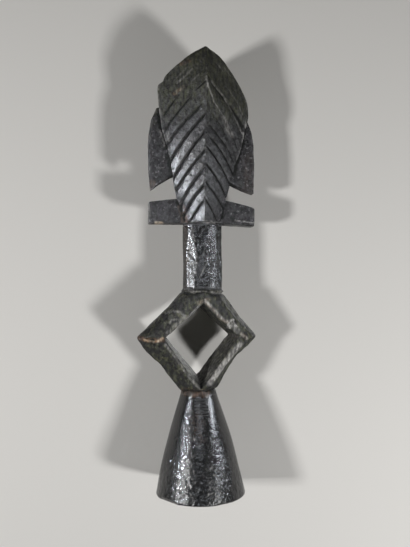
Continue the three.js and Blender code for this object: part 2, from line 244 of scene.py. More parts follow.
def lumps(points, spacing, seed, stretch=(1, 1, 1)):
    """Unevenness from -1 to 1: random values on a cubic lattice of that spacing, each point taking the
    eased mix of the eight lattice corners round it. Stretch makes the lumps longer along an axis."""
    count = 32
    off_lattice = 0.37
    lattice = np.random.default_rng(seed).uniform(-1, 1, (count, count, count))
    place = points / (spacing * np.array(stretch, float)) + off_lattice
    cell = np.floor(place).astype(int)
    part = place - cell
    part = part * part * (3 - 2 * part)
    total = np.zeros(points.shape[:-1])
    for corner in np.ndindex(2, 2, 2):
        weight = np.prod(np.where(corner, part, 1 - part), axis=-1)
        i, j, k = np.moveaxis((cell + np.array(corner)) % count, -1, 0)
        total += weight * lattice[i, j, k]
    return total


def knife_wave(angle, height, seed):
    """Flats on a round flank: a slow wave with two swings round it and a quick one with five, both
    turning slowly with the height."""
    slow = np.sin(2 * angle + 2 * np.pi * height / LONG_FLAT + seed)
    quick = np.sin(5 * angle - 2 * np.pi * height / SHORT_FLAT + 2.3 * seed)
    return KNIFE_DEPTH * (0.6 * slow + 0.4 * quick)


def eased(sections, passes, axis):
    """Worn corners: every point of a closed run moves to the mean of itself and its two neighbours,
    with double weight for itself, as many times as passes says."""
    for _ in range(passes):
        sections = (np.roll(sections, 1, axis) + 2 * sections + np.roll(sections, -1, axis)) / 4
    return sections


def placed(name, data):
    """A new object of the scene, at the origin."""
    made = bpy.data.objects.new(name, data)
    bpy.context.scene.collection.objects.link(made)
    return made


def member(name, rings, hoop=False):
    """A closed skin through rings of points, all rings of one count and counter-clockwise seen from
    the end that they run to: quads between neighbouring rings and one face over each end ring, or,
    for a hoop, quads from the last ring to the first."""
    levels, count = rings.shape[:2]
    here = np.arange(levels if hoop else levels - 1)[:, None] * count
    there = (here + count) % (levels * count)
    j = np.arange(count)[None, :]
    following = (j + 1) % count
    quads = np.stack([here + j, here + following, there + following, there + j], -1).reshape(-1, 4)
    faces = quads.tolist()
    if not hoop:
        faces.append(list(range(count - 1, -1, -1)))
        faces.append(list(range((levels - 1) * count, levels * count)))
    mesh = bpy.data.meshes.new(name)
    mesh.from_pydata((rings.reshape(-1, 3) * MM).tolist(), [], faces)
    mesh.update()
    return placed(name, mesh)


def section_through(corners, counts):
    """A closed section through corner points: each side runs straight from one corner to the next
    and is cut into the count of steps given for it. Corners come as (rows, corners, 3)."""
    sides = []
    for k, count in enumerate(counts):
        start = corners[:, k, None, :]
        end = corners[:, (k + 1) % len(counts), None, :]
        sides.append(mix(start, end, (np.arange(count) / count)[None, :, None]))
    return np.concatenate(sides, axis=1)


def foot():
    """Rings by height and angle: a cone whose flank swells by a half sine, with knife flats, a
    quarter-round rim at the bottom, a quarter-oval cap that draws in at the top and rings that shrink
    to the middle of the flat underside."""
    angle = np.linspace(0, 2 * np.pi, 230, endpoint=False)[None, :]
    rim = FOOT_RIM * (1 - np.cos(np.linspace(0, np.pi / 2, 5)))
    cap = np.linspace(0, np.pi / 2, 6)[1:]
    straight = np.linspace(FOOT_RIM, FOOT_HEIGHT, 104)[1:]
    height = np.concatenate([rim, straight, FOOT_HEIGHT + FOOT_CAP * np.sin(cap)])
    drawn_in = np.concatenate([np.zeros(len(height) - len(cap)), FOOT_CAP_IN * (1 - np.cos(cap))])[:, None]
    height = height[:, None]
    share = np.clip((height - FOOT_RIM) / (FOOT_HEIGHT - FOOT_RIM), 0, 1)
    tuck = FOOT_RIM * (1 - np.sqrt(1 - np.clip(1 - height / FOOT_RIM, 0, 1) ** 2))
    radius = mix(FOOT_BOTTOM, FOOT_TOP, share) + FOOT_SWELL * np.sin(np.pi * share) - tuck
    radius = radius + knife_wave(angle, height, 1) - drawn_in
    flank = np.stack([
        FOOT_LEAN * share + radius * np.cos(angle),
        radius * np.sin(angle),
        height + 0 * angle,
    ], -1)
    inward = np.array([0.06, 0.3, 0.6, 0.85, 0.97])[:, None, None]
    under = flank[:1] * inward * np.array([1, 1, 0])
    return member("foot", np.concatenate([under, flank]))


def neck():
    """Rings by height and angle: at each height the section is the smallest of the flat knife cuts,
    each with its own facing and distance from the axis, which drift a little with the height. The
    smallest is a soft one, by the log of a sum of exponentials, which rounds the corners between the
    cuts. The lowest rings widen to a small ledge and tuck into the lozenge."""
    facing, near = np.radians(np.array(NECK_CUTS)[:, 0]), np.array(NECK_CUTS)[:, 1]
    angle = np.linspace(0, 2 * np.pi, 130, endpoint=False)[None, :, None]
    height = np.linspace(NECK_BASE - 3, HEAD_BASE + NECK_ROOT, 80)[:, None, None]
    order = np.arange(len(facing))
    drift = 0.05 * np.sin(height / 13 + 1.7 * order)
    push = 0.3 * np.sin(height / 9 + 2.9 * order)
    turned = (angle + np.pi / 2 - facing - drift + np.pi) % (2 * np.pi) - np.pi
    reach = (near + push) / np.maximum(np.cos(turned), 0.2)
    sharp = 5
    least = reach.min(-1, keepdims=True)
    radius = least[..., 0] - np.log(np.exp(-(reach - least) * sharp).sum(-1)) / sharp
    level = height[..., 0]
    ledge = np.exp(-((level - NECK_BASE - 0.6) / 1.2) ** 2)
    radius = radius + 1.6 * NECK_LEDGE * ledge - 1.2 * step(level, NECK_BASE + 0.5, NECK_BASE - 3)
    ring = np.stack([
        NECK_SHIFT + radius * np.cos(angle[..., 0]),
        radius * np.sin(angle[..., 0]),
        level + 0 * radius,
    ], -1)
    return member("neck", ring)


# Outer outline of the lozenge's arms, as [share of the way out from the neck or foot to the side
# corner, share of the way from the corner's level to the neck's or foot's]
ARM_UPPER_LEFT = [[1, 0], [0.6, 0.37], [0.25, 0.7], [0, 0.98]]
ARM_UPPER_RIGHT = [[0, 0.94], [0.47, 0.45], [1, 0.03]]
ARM_LOWER_RIGHT = [[1, 0.03], [0.77, -0.14], [0.495, -0.33], [0.293, -0.54], [0, -0.93]]
ARM_LOWER_LEFT = [[0, -1], [0.19, -0.8], [0.46, -0.5], [0.77, -0.26], [1, 0]]


def along_run(points, share):
    """Points at shares of the length of a run of straight stretches."""
    points = np.array(points, float)
    lengths = np.concatenate([[0], np.cumsum(np.linalg.norm(np.diff(points, axis=0), axis=1))])
    reach = share * lengths[-1]
    return np.stack([np.interp(reach, lengths, points[:, 0]), np.interp(reach, lengths, points[:, 1])], -1)


def lozenge():
    """Six-cornered sections carried round the opening: inner wall, flat front, bevel, outer wall,
    bevel and flat back, each corner eased, with less depth towards the two side corners."""
    upper = OPENING_RISE + LINTEL
    lower = OPENING_DROP + SILL

    # Outline of an arm as points [x, z], from its shares of the way out and of the way up or down
    def place(arm, inner, outer):
        return [[mix(inner, outer, out), CORNER_LEVEL + up * (upper if up > 0 else lower)] for out, up in arm]

    top = [NECK_SHIFT, NECK_BASE + LOZENGE_ROOT]
    bottom = [FOOT_LEAN, FOOT_HEIGHT - LOZENGE_ROOT]
    neck_reach = NECK_RADIUS + SHOULDER
    outlines = [
        place(ARM_UPPER_LEFT, NECK_SHIFT - neck_reach, -REACH_LEFT) + [top],
        [top] + place(ARM_UPPER_RIGHT, NECK_SHIFT + neck_reach, REACH_RIGHT),
        place(ARM_LOWER_RIGHT, FOOT_LEAN + FOOT_TOP, REACH_RIGHT) + [bottom],
        [bottom] + place(ARM_LOWER_LEFT, FOOT_LEAN - FOOT_TOP, -REACH_LEFT),
    ]

    # The opening's left, top, right and bottom corner as [x, z], drawn in by the taper at the back
    def corners(at_back):
        taper = OPENING_TAPER * at_back
        return np.array([
            [-OPENING_LEFT + 0.5 * taper, CORNER_LEVEL],
            [0, CORNER_LEVEL + OPENING_RISE - 0.6 * taper],
            [OPENING_RIGHT - taper, CORNER_LEVEL + OPENING_SKEW],
            [-OPENING_SKEW, CORNER_LEVEL - OPENING_DROP + OPENING_FLOOR * at_back],
        ])

    front, back = corners(0), corners(1)
    # How far the bevel of each arm reaches from the outer edge towards the opening: at its ends, in
    # its middle and at the back
    bevel_ends = 0.36
    bevels = [0.3, 0.34, 0.5, 0.74]
    bevel_back = 0.34
    # Share of the half depth that the outer wall keeps between its two bevels
    wall = 0.45
    steps = 62
    share = (np.arange(steps) / steps)[:, None]
    sections = []
    for side in range(4):
        following = (side + 1) % 4
        outer = along_run(outlines[side], share[:, 0])
        inner_front = mix(front[side], front[following], share)
        inner_back = mix(back[side], back[following], share)
        from_corner = share if side % 2 == 0 else 1 - share
        half = mix(CORNER_DEPTH, LOZENGE_DEPTH, 1 - (1 - from_corner) ** 2) / 2
        bevel = mix(bevel_ends, bevels[side], band(share, 0, 0.3, 0.7, 1))

        # Points [x, z] set at a depth
        def at(point, depth):
            return np.concatenate([point[:, :1], depth, point[:, 1:]], 1)

        sections.append(np.stack([
            at(inner_front, -half), at(mix(outer, inner_front, bevel), -half),
            at(outer, -wall * half), at(outer, wall * half),
            at(mix(outer, inner_back, bevel_back), half), at(inner_back, half),
        ], 1))
    dense = section_through(np.concatenate(sections), [16, 14, 16, 10, 16, 24])
    dense = eased(dense, 2, 1)
    dense = eased(dense, 2, 0)
    # The front edge over the foot is cut back to the foot's own radius
    low = 1 - step(dense[..., 2], FOOT_HEIGHT - 1, FOOT_HEIGHT + 7)
    dense[..., 1] *= np.where(dense[..., 1] < 0, 1 - 0.2 * low, 1)
    return member("lozenge", dense[:, ::-1], hoop=True)


def groove_depth(grooves, share, across, half):
    """Depth of the V cuts of a facet: the distance from a groove's bottom line is the rise from it
    times the cosine of its slant, and the two walls rise evenly over their widths. A groove that
    begins or ends inside the facet runs out over a short way."""
    run_out = 0.12
    deepest = np.zeros(np.broadcast(share, across).shape)
    for at, drop, depth, above, below, below_edge, start, end in grooves:
        slant = np.arctan2(drop * HEAD_HEIGHT, half)
        away = (share - at + drop * across) * HEAD_HEIGHT * np.cos(slant)
        wall = 1 - np.where(away > 0, away / above, -away / mix(below, below_edge, across))
        fade = band(across, start - run_out, start + run_out, end - run_out, end + run_out)
        deepest = np.maximum(deepest, depth * np.clip(wall, 0, 1) * fade)
    return deepest


def facet(sign, row, across):
    """Points of a front facet. A row starts at the keel and drops to the leaf's edge as the grooves
    do; the depth goes evenly from the keel's to the edge's, with a slight swell and the grooves."""
    drops, leaf, leaf_inside, grooves = SIDES[sign]
    other_grooves = SIDES[-sign][-1]
    share = row - profile(drops, row) * across
    half = HEAD_WIDTH / 2 * profile(leaf, share)
    inside = HEAD_WIDTH / 2 * profile(leaf_inside, share)
    part = np.minimum(half * across / inside, 1.1)
    between = mix(share, row, 0.5)
    keel = -KEEL_DEPTH * mix(profile(KEEL_LINE, between), profile(KEEL_SOFT, between), step(across, 0, 0.3))
    edge = -KEEL_DEPTH * profile(EDGE_LINE, share)
    depth = mix(keel, edge, part) - FACET_SWELL * np.sin(np.pi * np.minimum(part, 1))
    cut = groove_depth(grooves, share, across, half)
    other = groove_depth(other_grooves, row, 0 * across, half)
    # Where the facets meet at the keel, the grooves of both sides run together and are shallower
    at_keel = 1 - step(across, 0, 0.04)
    cut = mix(cut, 0.6 * np.maximum(cut, other), at_keel)
    # A groove cuts straight into the slanted facet, partly towards the keel and mostly backward
    keelward, backward = 0.45, 0.89
    lean = keelward * step(across, 0, 0.12) * step(half, 0, 20)
    x = sign * (half * across - lean * cut)
    return np.stack([x, depth + backward * cut, HEAD_BASE + HEAD_HEIGHT * share], -1)


def head():
    """Rings that start at the keel and go round by the right facet, flank, back and left flank to
    the left facet. The back's corner points are those of the solid, joined straight and then eased,
    and its level passes evenly from the right edge's to the left edge's."""
    row = np.concatenate([np.arange(-0.18, 0.84, 0.0046), np.arange(0.84, 0.999, 0.0032), [0.9995]])[:, None]
    across = np.linspace(0, 1, 43)[None, :]
    right = facet(1, row, across)
    left = facet(-1, row, across)

    # Points of one side's flank, at shares of the way across and back from the leaf's edge to the
    # back's ridge, or just inside the edge where there is no share across. Their level passes by
    # stretch from the edge's own to the mean of both edges'
    def flank(sign, stretch, x_share, y_share):
        drops, leaf = SIDES[sign][:2]
        level = row - profile(drops, row)
        other = row - profile(SIDES[-sign][0], row)
        share = mix(level, (level + other) / 2, stretch)
        half = HEAD_WIDTH / 2 * profile(leaf, share)
        back = HEAD_BACK * profile(BACK_LINE, share)
        edge = -KEEL_DEPTH * profile(EDGE_LINE, share)
        ridge = np.minimum(BACK_RIDGE / 2, 0.6 * half)
        x = sign * (0.97 * half if x_share is None else mix(half, ridge, x_share))
        return np.stack([x, mix(edge, back, y_share), HEAD_BASE + HEAD_HEIGHT * share], -1)[:, 0]

    stations = [(0.25, None, 0.28), (0.6, 0.42, 0.7), (0.9, 1, 1)]
    corners = [right[:, -1]] + [flank(1, *station) for station in stations]
    corners += [flank(-1, *station) for station in stations[::-1]] + [left[:, -1]]
    counts = [7, 9, 9, 6, 9, 9, 7]
    back = []
    for k, count in enumerate(counts):
        share = (np.arange(count) / count)[None, :, None]
        back.append(mix(corners[k][:, None], corners[k + 1][:, None], share))
    back = np.concatenate(back, 1)
    for _ in range(3):
        back[:, 1:-1] = (back[:, :-2] + 2 * back[:, 1:-1] + back[:, 2:]) / 4
    rings = np.concatenate([right[:, :-1], back, left[:, :0:-1]], 1)
    return member("head", rings)


# One wing's edges, as [share of head height, share of half span]: outer edge, then lower edge inward
WING_OUTER_LEFT = [
    [0.195, 0.965], [0.3, 1], [0.46, 1.01], [0.53, 1], [0.61, 0.955], [0.68, 0.86], [0.7, 0.6],
]
WING_INNER_LEFT = [[0.195, 0.955], [0.235, 0.78], [0.272, 0.58], [0.3, 0.3], [0.7, 0.3]]
WING_OUTER_RIGHT = [
    [0.18, 0.985], [0.355, 1], [0.475, 0.985], [0.55, 0.945], [0.63, 0.85], [0.68, 0.6],
]
WING_INNER_RIGHT = [[0.18, 0.975], [0.2, 0.78], [0.233, 0.55], [0.26, 0.3], [0.68, 0.3]]


def wing(name, sign, outer, inner):
    """Level sections of a flat plate: a rectangle from the lower or inner edge to the outer edge,
    with eased corners, which narrows to the pointed tip at its lower end. The front rises towards
    the head and falls back a little at the outer edge and at the tip."""
    fall = 0.6
    low, high = outer[0][0], outer[-1][0]
    share = mix(low, high, np.linspace(0, 1, 68))
    far = WING_SPAN / 2 * np.interp(share, *np.array(outer).T)
    near = WING_SPAN / 2 * np.interp(share, *np.array(inner).T)
    level = HEAD_BASE + HEAD_HEIGHT * share
    front = -WING_FRONT + fall * step(level, level[0] + 8, level[0])
    back = -WING_FRONT + WING_THICK

    # Points of one edge at all levels
    def at(x, y):
        return np.stack([sign * x, y + 0 * x, level], -1)

    root = front - WING_ROOT_RISE * (far - near) / (WING_SPAN / 2)
    corners = np.stack([at(near, root), at(far, front + fall), at(far, back), at(near, back)], 1)
    rings = eased(section_through(corners, [24, 12, 24, 12]), 2, 1)
    if sign < 0:
        rings = rings[:, ::-1]
    return member(name, rings)


# Each ear bar at the neck and at its end: top and bottom as shares of head height, and the bevel of
# the lower front edge in millimetres
BAR_LEFT = [[0.152, 0.12], [0, -0.008], [0.6, 1.2]]
BAR_RIGHT = [[0.152, 0.092], [0.004, -0.02], [1.5, 3.6]]


def bar(name, sign, tops, bottoms, bevels):
    """Upright sections of an ear bar from the neck outward: a rectangle whose top falls in a curve,
    whose underside falls evenly and whose depth thins, with a bevel along the lower front edge,
    eased corners and a worn end."""
    share = np.concatenate([np.linspace(0, 0.975, 40), [0.99, 1]])
    worn = 0.5 * step(share, 0.97, 1)
    top = HEAD_BASE + HEAD_HEIGHT * mix(*tops, share ** 1.6) - worn
    bottom = HEAD_BASE + HEAD_HEIGHT * mix(*bottoms, share) + worn
    front = -BAR_FRONT + 0 * share + worn
    back = -BAR_FRONT + mix(BAR_ROOT_DEPTH, BAR_END_DEPTH, share) - worn
    bevel = mix(*bevels, share)
    x = sign * share * BAR_SPAN / 2

    # Points of one edge at all sections
    def at(y, z):
        return np.stack([x, y, z], -1)

    corners = np.stack([
        at(front, bottom + bevel), at(front + 0.8 * bevel, bottom), at(back, bottom),
        at(back, top), at(front, top),
    ], 1)
    rings = eased(section_through(corners, [4, 16, 18, 20, 18]), 2, 1)
    if sign < 0:
        rings = rings[:, ::-1]
    return member(name, rings)


def trimming_block():
    """A block over everything above the head's base, which cuts the head's lower end off flat."""
    edge = 200.0
    square = np.array([[-edge, -edge], [edge, -edge], [edge, edge], [-edge, edge]])
    levels = (HEAD_BASE, HEAD_BASE + edge)
    rings = np.stack([np.column_stack([square, np.full(4, level)]) for level in levels])
    return member("trimming_block", rings)


def united():
    """All members as one skin: the head is trimmed flat below and the others are added to it."""
    whole = head()
    others = [
        (trimming_block(), "INTERSECT"), (neck(), "UNION"), (lozenge(), "UNION"), (foot(), "UNION"),
        (wing("wing_left", -1, WING_OUTER_LEFT, WING_INNER_LEFT), "UNION"),
        (wing("wing_right", 1, WING_OUTER_RIGHT, WING_INNER_RIGHT), "UNION"),
        (bar("bar_left", -1, *BAR_LEFT), "UNION"), (bar("bar_right", 1, *BAR_RIGHT), "UNION"),
    ]
    for other, operation in others:
        cut = whole.modifiers.new(other.name, "BOOLEAN")
        cut.operation = operation
        cut.solver = "MANIFOLD"
        cut.object = other
    bpy.context.view_layer.update()
    ready = whole.evaluated_get(bpy.context.evaluated_depsgraph_get())
    mesh = bpy.data.meshes.new_from_object(ready)
    mesh.materials.clear()
    for made in [whole] + [other for other, _ in others]:
        spare = made.data
        bpy.data.objects.remove(made)
        bpy.data.meshes.remove(spare)
    work = bmesh.new()
    work.from_mesh(mesh)
    bmesh.ops.remove_doubles(work, verts=work.verts, dist=SHORTEST_EDGE * MM)
    bmesh.ops.dissolve_degenerate(work, edges=work.edges, dist=THINNEST_TRIANGLE * MM)
    bmesh.ops.triangulate(work, faces=work.faces)
    bmesh.ops.recalc_face_normals(work, faces=work.faces)
    work.to_mesh(mesh)
    work.free()
    mesh.name = "carved_figure"
    return mesh


def read(mesh):
    """Places and normals of a mesh's points as arrays, places in millimetres."""
    count = len(mesh.vertices)
    places = np.empty(count * 3, np.float32)
    mesh.vertices.foreach_get("co", places)
    normals = np.empty(count * 3, np.float32)
    mesh.vertex_normals.foreach_get("vector", normals)
    return places.reshape(-1, 3).astype(float) / MM, normals.reshape(-1, 3).astype(float)


def write(mesh, places):
    """Moves a mesh's points to places given in millimetres."""
    mesh.vertices.foreach_set("co", (places * MM).astype(np.float32).ravel())
    mesh.update()


# Marks on the front, seen along the depth axis: the share of the material that it raises, strength,
# half width in millimetres, and the run of points [x, z] that it follows. Some worn marks are painted
# highlights and painted light, and the hollow marks painted shadow
MARKS = [
    # Painted highlights: a pale spot on the keel's peak and a line along the crest down to the right
    ("worn", 0.8, 1.0, [[-0.3, 369.5], [0.4, 366], [1.4, 362.5]]),
    ("worn", 0.5, 0.8, [[1.2, 363.5], [7.5, 350.5], [12.5, 345], [19.1, 337], [25, 327.5]]),
    ("worn", 0.35, 2.8, [[16, 339], [21, 329], [25, 325]]),
    # Painted highlight: a second bright line along a crest on the right
    ("worn", 0.38, 0.8, [[3.2, 369.3], [16.2, 357.4], [25.6, 344.4], [35, 329.4]]),
    ("worn", 0.6, 1.2, [[36.0, 329.5], [37.4, 325.5]]),
    ("worn", 0.3, 1.2, [[-12.1, 379.7], [-23.9, 369.2]]),
    ("worn", 0.18, 0.9, [[-7, 374], [-15, 366.5]]),
    ("worn", 0.16, 0.9, [[-16, 382], [-27, 372]]),
    ("worn", 0.22, 0.9, [[10, 386], [15.8, 380.2]]),
    ("worn", 0.22, 0.9, [[17.8, 383.4], [29.9, 371.9]]),
    ("worn", 0.2, 0.9, [[20, 366], [30, 355], [35, 345]]),
    ("worn", 0.45, 1.0, [[-38.4, 330], [-36, 322], [-33.9, 315.7]]),
    ("worn", 0.25, 2.0, [[-32.5, 327], [-31, 321]]),
    ("cream", 0.25, 2.2, [[-26.6, 360], [-19.8, 364.6]]),
    ("brown", 0.5, 2.4, [[-20.8, 385.5], [-14.5, 387.4]]),
    ("brown", 0.55, 4.0, [[-19.5, 262], [-16.5, 255], [-16, 247]]),
    ("brown", 0.6, 4.0, [[-47.5, 279], [-45.5, 283]]),
    ("brown", 0.12, 9.0, [[44, 305], [43, 278]]),
    ("cream", 0.6, 2.0, [[-41.6, 247.6], [-36.5, 246.8]]),
    ("worn", 0.6, 0.7, [[30, 250.6], [38, 249.6], [47, 248.4]]),
    ("brown", 0.9, 2.6, [[-58, 143.6], [-46, 141.8], [-36, 142]]),
    ("cream", 0.9, 1.5, [[-52, 141.8], [-45.4, 140.3], [-38.3, 141.4], [-36, 143.6]]),
    ("worn", 0.5, 1.1, [[-2.6, 173.4], [-14.2, 161.8], [-24, 152.4], [-32, 145.6]]),
    ("worn", 0.3, 2.6, [[-16, 163], [-25, 154], [-31, 148.5]]),
    ("worn", 0.4, 1.3, [[-33, 166], [-27, 168.2], [-19.5, 167.2], [-16.5, 163.5]]),
    ("worn", 0.3, 1.2, [[-30, 157], [-28, 160.2], [-22.5, 160.5]]),
    ("cream", 0.18, 1.6, [[2.9, 175], [11, 167.5], [17, 159.9], [23, 157.5]]),
    ("worn", 0.85, 1.8, [[2.0, 177.5], [10, 170], [15, 163.5], [19.5, 159.5], [24, 158]]),
    # Worn chip on the upper right arm, its bright loop a painted glint
    ("worn", 1.0, 1.4, [[28, 159.8], [24.6, 158.8], [23.2, 155.8], [24.5, 152.4]]),
    ("worn", 0.5, 3.4, [[27.5, 155], [32.5, 149]]),
    # Painted shadow: a dark line inside the chip and one beside the raised edge of the splinter
    ("hollow_shade", 0.9, 0.8, [[25.8, 157.4], [27.8, 150]]),
    ("hollow_shade", 0.75, 1.5, [[6.5, 176], [14, 168.6], [20.5, 163]]),
    ("worn", 0.8, 0.5, [[26.2, 157.5], [31.0, 152.4]]),
    ("worn", 0.8, 0.5, [[28.0, 158.0], [33.2, 151.6]]),
    ("worn", 0.8, 0.5, [[25.6, 154.6], [31.0, 148.6]]),
    ("cream", 0.15, 2.2, [[35.8, 147], [40.5, 143]]),
    ("worn", 0.45, 1.6, [[34.5, 147.5], [41, 142.5]]),
    ("brown", 0.9, 1.6, [[25, 144.6], [32, 144.2]]),
    # Painted light on the bevel facet of the lower right arm, and a painted highlight line along it
    ("worn", 0.78, 3.4, [[35, 137.6], [18.8, 119.6], [6, 103]]),
    ("worn", 1.0, 0.9, [[33.6, 136], [22, 121.2], [10.4, 106]]),
    # Painted light on the inner wall of the lower right arm, which lies in shade
    ("worn", 0.14, 4.5, [[30.5, 143.5], [20, 129], [-1, 104]]),
    ("worn", 0.28, 4.0, [[9, 114], [-1, 104]]),
    ("worn", 0.5, 0.7, [[27.3, 143], [15.6, 129]]),
    # Painted highlight along the ridge of the lower left arm
    ("worn", 0.35, 1.6, [[-33.5, 138], [-24.1, 126.2], [-17, 115.6]]),
    ("worn", 0.5, 1.8, [[-17, 115.6], [-9, 105], [-3, 98.5]]),
    ("brown", 0.75, 4.4, [[-17, 94.5], [4, 93.5]]),
    ("brown", 0.12, 8.0, [[-6, 74], [-4.5, 56]]),
    ("worn", 0.5, 0.9, [[-15.5, 187.8], [-9, 186.2], [-2, 185.6]]),
    ("worn", 0.5, 0.9, [[7, 184.8], [18.5, 183.4]]),
    ("worn", 0.45, 0.7, [[3.9, 211.3], [0, 204], [-3.4, 196.9]]),
    ("cream", 0.2, 2.4, [[-4, 175.5], [5, 178.5]]),
]

# A worn mark of less than the first half width stands out, and any mark of more than the second is
# less ragged
NARROW_MARK = 1.5
WIDE_MARK = 2.5

# Small dents with a bright far edge on the foot, as [x, z, radius, depth] in millimetres
DENTS = [
    [-14.4, 74.4, 1.6, 0.9], [-24.1, 54.5, 1.3, 0.7], [-9.9, 54.5, 1.5, 0.7], [-9.7, 49.9, 1.4, 0.7],
    [-28.7, 34.9, 1.5, 0.7], [-27.0, 37.5, 1.2, 0.5], [9.5, 54, 1.6, 0.6], [14.5, 47.5, 1.4, 0.6],
]

# Chips of the foot's rim, as [degrees round the foot from the right, width in millimetres]
CHIPS = [[-143, 5.0], [-65, 4.0], [-118, 2.6]]

# Level scratches across the front of the foot's top: spacing, heights between which they fade in and
# fade out, their middle, and how far from it they fade out
SCRATCH_SPACING = 2.7
SCRATCH_HEIGHTS = [74, 79, 88, 91]
SCRATCH_MIDDLE = -1.5
SCRATCH_REACH = [4, 6.5]


def along(points, run):
    """Distance from each point to a run of straight stretches, in x and z alone."""
    flat = points[:, [0, 2]]
    nearest = np.full(len(points), np.inf)
    for start, end in zip(np.array(run[:-1], float), np.array(run[1:], float)):
        way = end - start
        share = np.clip((flat - start) @ way / (way @ way), 0, 1)
        nearest = np.minimum(nearest, np.linalg.norm(flat - start - share[:, None] * way, axis=1))
    return nearest


def neighbours_mean(mesh, values):
    """Mean of the values at the points that share an edge with each point."""
    ends = np.empty(len(mesh.edges) * 2, np.int32)
    mesh.edges.foreach_get("vertices", ends)
    first, second = ends.reshape(-1, 2).T
    count = len(mesh.vertices)
    share = np.bincount(first, minlength=count) + np.bincount(second, minlength=count)
    columns = values.reshape(count, -1).T
    total = [np.bincount(first, column[second], count) + np.bincount(second, column[first], count)
             for column in columns]
    return (np.array(total) / np.maximum(share, 1)).T.reshape(values.shape)


def fine_cuts(places):
    """The scratches of the foot's top, from -1 in a scratch to 1 between two: a sine of the height
    that fades out above, below and to both sides."""
    x, level = places[:, 0], places[:, 2]
    fade = band(level, *SCRATCH_HEIGHTS) * (1 - step(np.abs(x - SCRATCH_MIDDLE), *SCRATCH_REACH))
    return np.sin(2 * np.pi * level / SCRATCH_SPACING) * fade


def relief(places):
    """Height of the fine relief along each point's normal, in millimetres: tarry lumps and runs on
    the foot, knife chatter on the neck, scoops on the lozenge and tool marks on the head. Each is a
    sum of lumps of a few sizes, then the dents sink in, and narrow worn marks stand out."""
    level = places[:, 2]
    front = step(places[:, 1], 4, -4)
    on_foot = 1 - step(level, FOOT_HEIGHT - 2, FOOT_HEIGHT + 3)
    on_neck = band(level, NECK_BASE - 1, NECK_BASE + 4, HEAD_BASE - 1, HEAD_BASE)
    on_lozenge = band(level, FOOT_HEIGHT - 2, FOOT_HEIGHT + 3, NECK_BASE - 1, NECK_BASE + 4)
    on_head = step(level, HEAD_BASE - 1, HEAD_BASE)
    middle = lumps(places, 3.4, seed=4)
    fine = lumps(places, 1.9, seed=5)
    low_foot = 1 - step(level, 8, 60)
    foot_height = 0.2 * lumps(places, 8.0, seed=6, stretch=(1, 1, 4))
    foot_height += 0.14 * lumps(places, 13.0, seed=3) - 0.15
    foot_height += (0.02 + 0.11 * low_foot) * middle + (0.005 + 0.045 * low_foot) * fine
    foot_height += 0.07 * fine_cuts(places) * front
    neck_height = 0.12 * middle + 0.06 * fine + 0.1 * lumps(places, 1.5, seed=9, stretch=(3, 3, 1))
    lozenge_height = 0.45 * lumps(places, 7.0, seed=7) + 0.2 * middle + 0.14 * fine
    head_height = 0.14 * lumps(places, 7.0, seed=8) + 0.1 * middle + 0.1 * fine
    total = on_foot * foot_height + on_neck * neck_height
    total += on_lozenge * lozenge_height + on_head * head_height
    for x, z, radius, depth in DENTS:
        away = np.hypot(places[:, 0] - x, places[:, 2] - z) / radius
        total -= front * depth * (1 - step(away, 0.2, 1.0))
    for name, strength, width, run in MARKS:
        if name == "worn" and width < NARROW_MARK:
            total += front * 0.25 * strength * (1 - step(along(places, run), 0.2, width))
    # The underside that it stands on stays flat
    return total * step(level, 0.3, 3)


def worn_crest(places):
    """The crest of the keel is worn down to the solid's: what stands out past CREST_SOFT comes back
    towards CREST_LIMIT by an exponential."""
    over = np.maximum(-places[:, 1] - CREST_SOFT, 0)
    room = CREST_LIMIT - CREST_SOFT
    drawn = places.copy()
    drawn[:, 1] += over - room * (1 - np.exp(-over / room))
    return drawn


def scarred(places):
    """The broken scar at the lozenge's left corner: points of the front face sink to the floor of a
    boat-shaped splinter that is deepest at its outer end and has a rough, grained floor."""
    x, y, z = places.T
    inward = (x + REACH_LEFT) / SCAR_WIDTH
    across = (z - CORNER_LEVEL + SCAR_DROP + SCAR_SLANT * inward) / (SCAR_HEIGHT / 2)
    # The floor reaches the face at this share of the half height on either side
    side = 1.15
    depth = SCAR_DEPTH * mix(1.9, 0.9, np.clip(inward, 0, 1)) * (1 - step(inward, 0.75, 1.05))
    rough = 1 + 0.25 * lumps(places, 1.7, seed=31, stretch=(3, 1, 1))
    floor = -CORNER_DEPTH / 2 + depth * np.clip(side - np.abs(across), -1, 1) * rough
    sunk = np.where((y < 2) & (inward < 1.1) & (np.abs(across) < side), np.maximum(y, floor), y)
    return np.column_stack([x, sunk, z])


def chipped(places):
    """The foot's rim loses its chips: each is cut off by a plane that slopes across the bottom edge,
    and points beyond the plane come back to it."""
    outward, downward = 0.82, -0.57
    for degrees, width in CHIPS:
        way = np.radians(degrees)
        normal = np.array([np.cos(way) * outward, np.sin(way) * outward, downward])
        rim = np.array([np.cos(way) * FOOT_BOTTOM, np.sin(way) * FOOT_BOTTOM, 0])
        reach = normal @ rim - 0.45 * width
        beyond = np.maximum(places @ normal - reach, 0)
        places = places - beyond[:, None] * normal
    return places


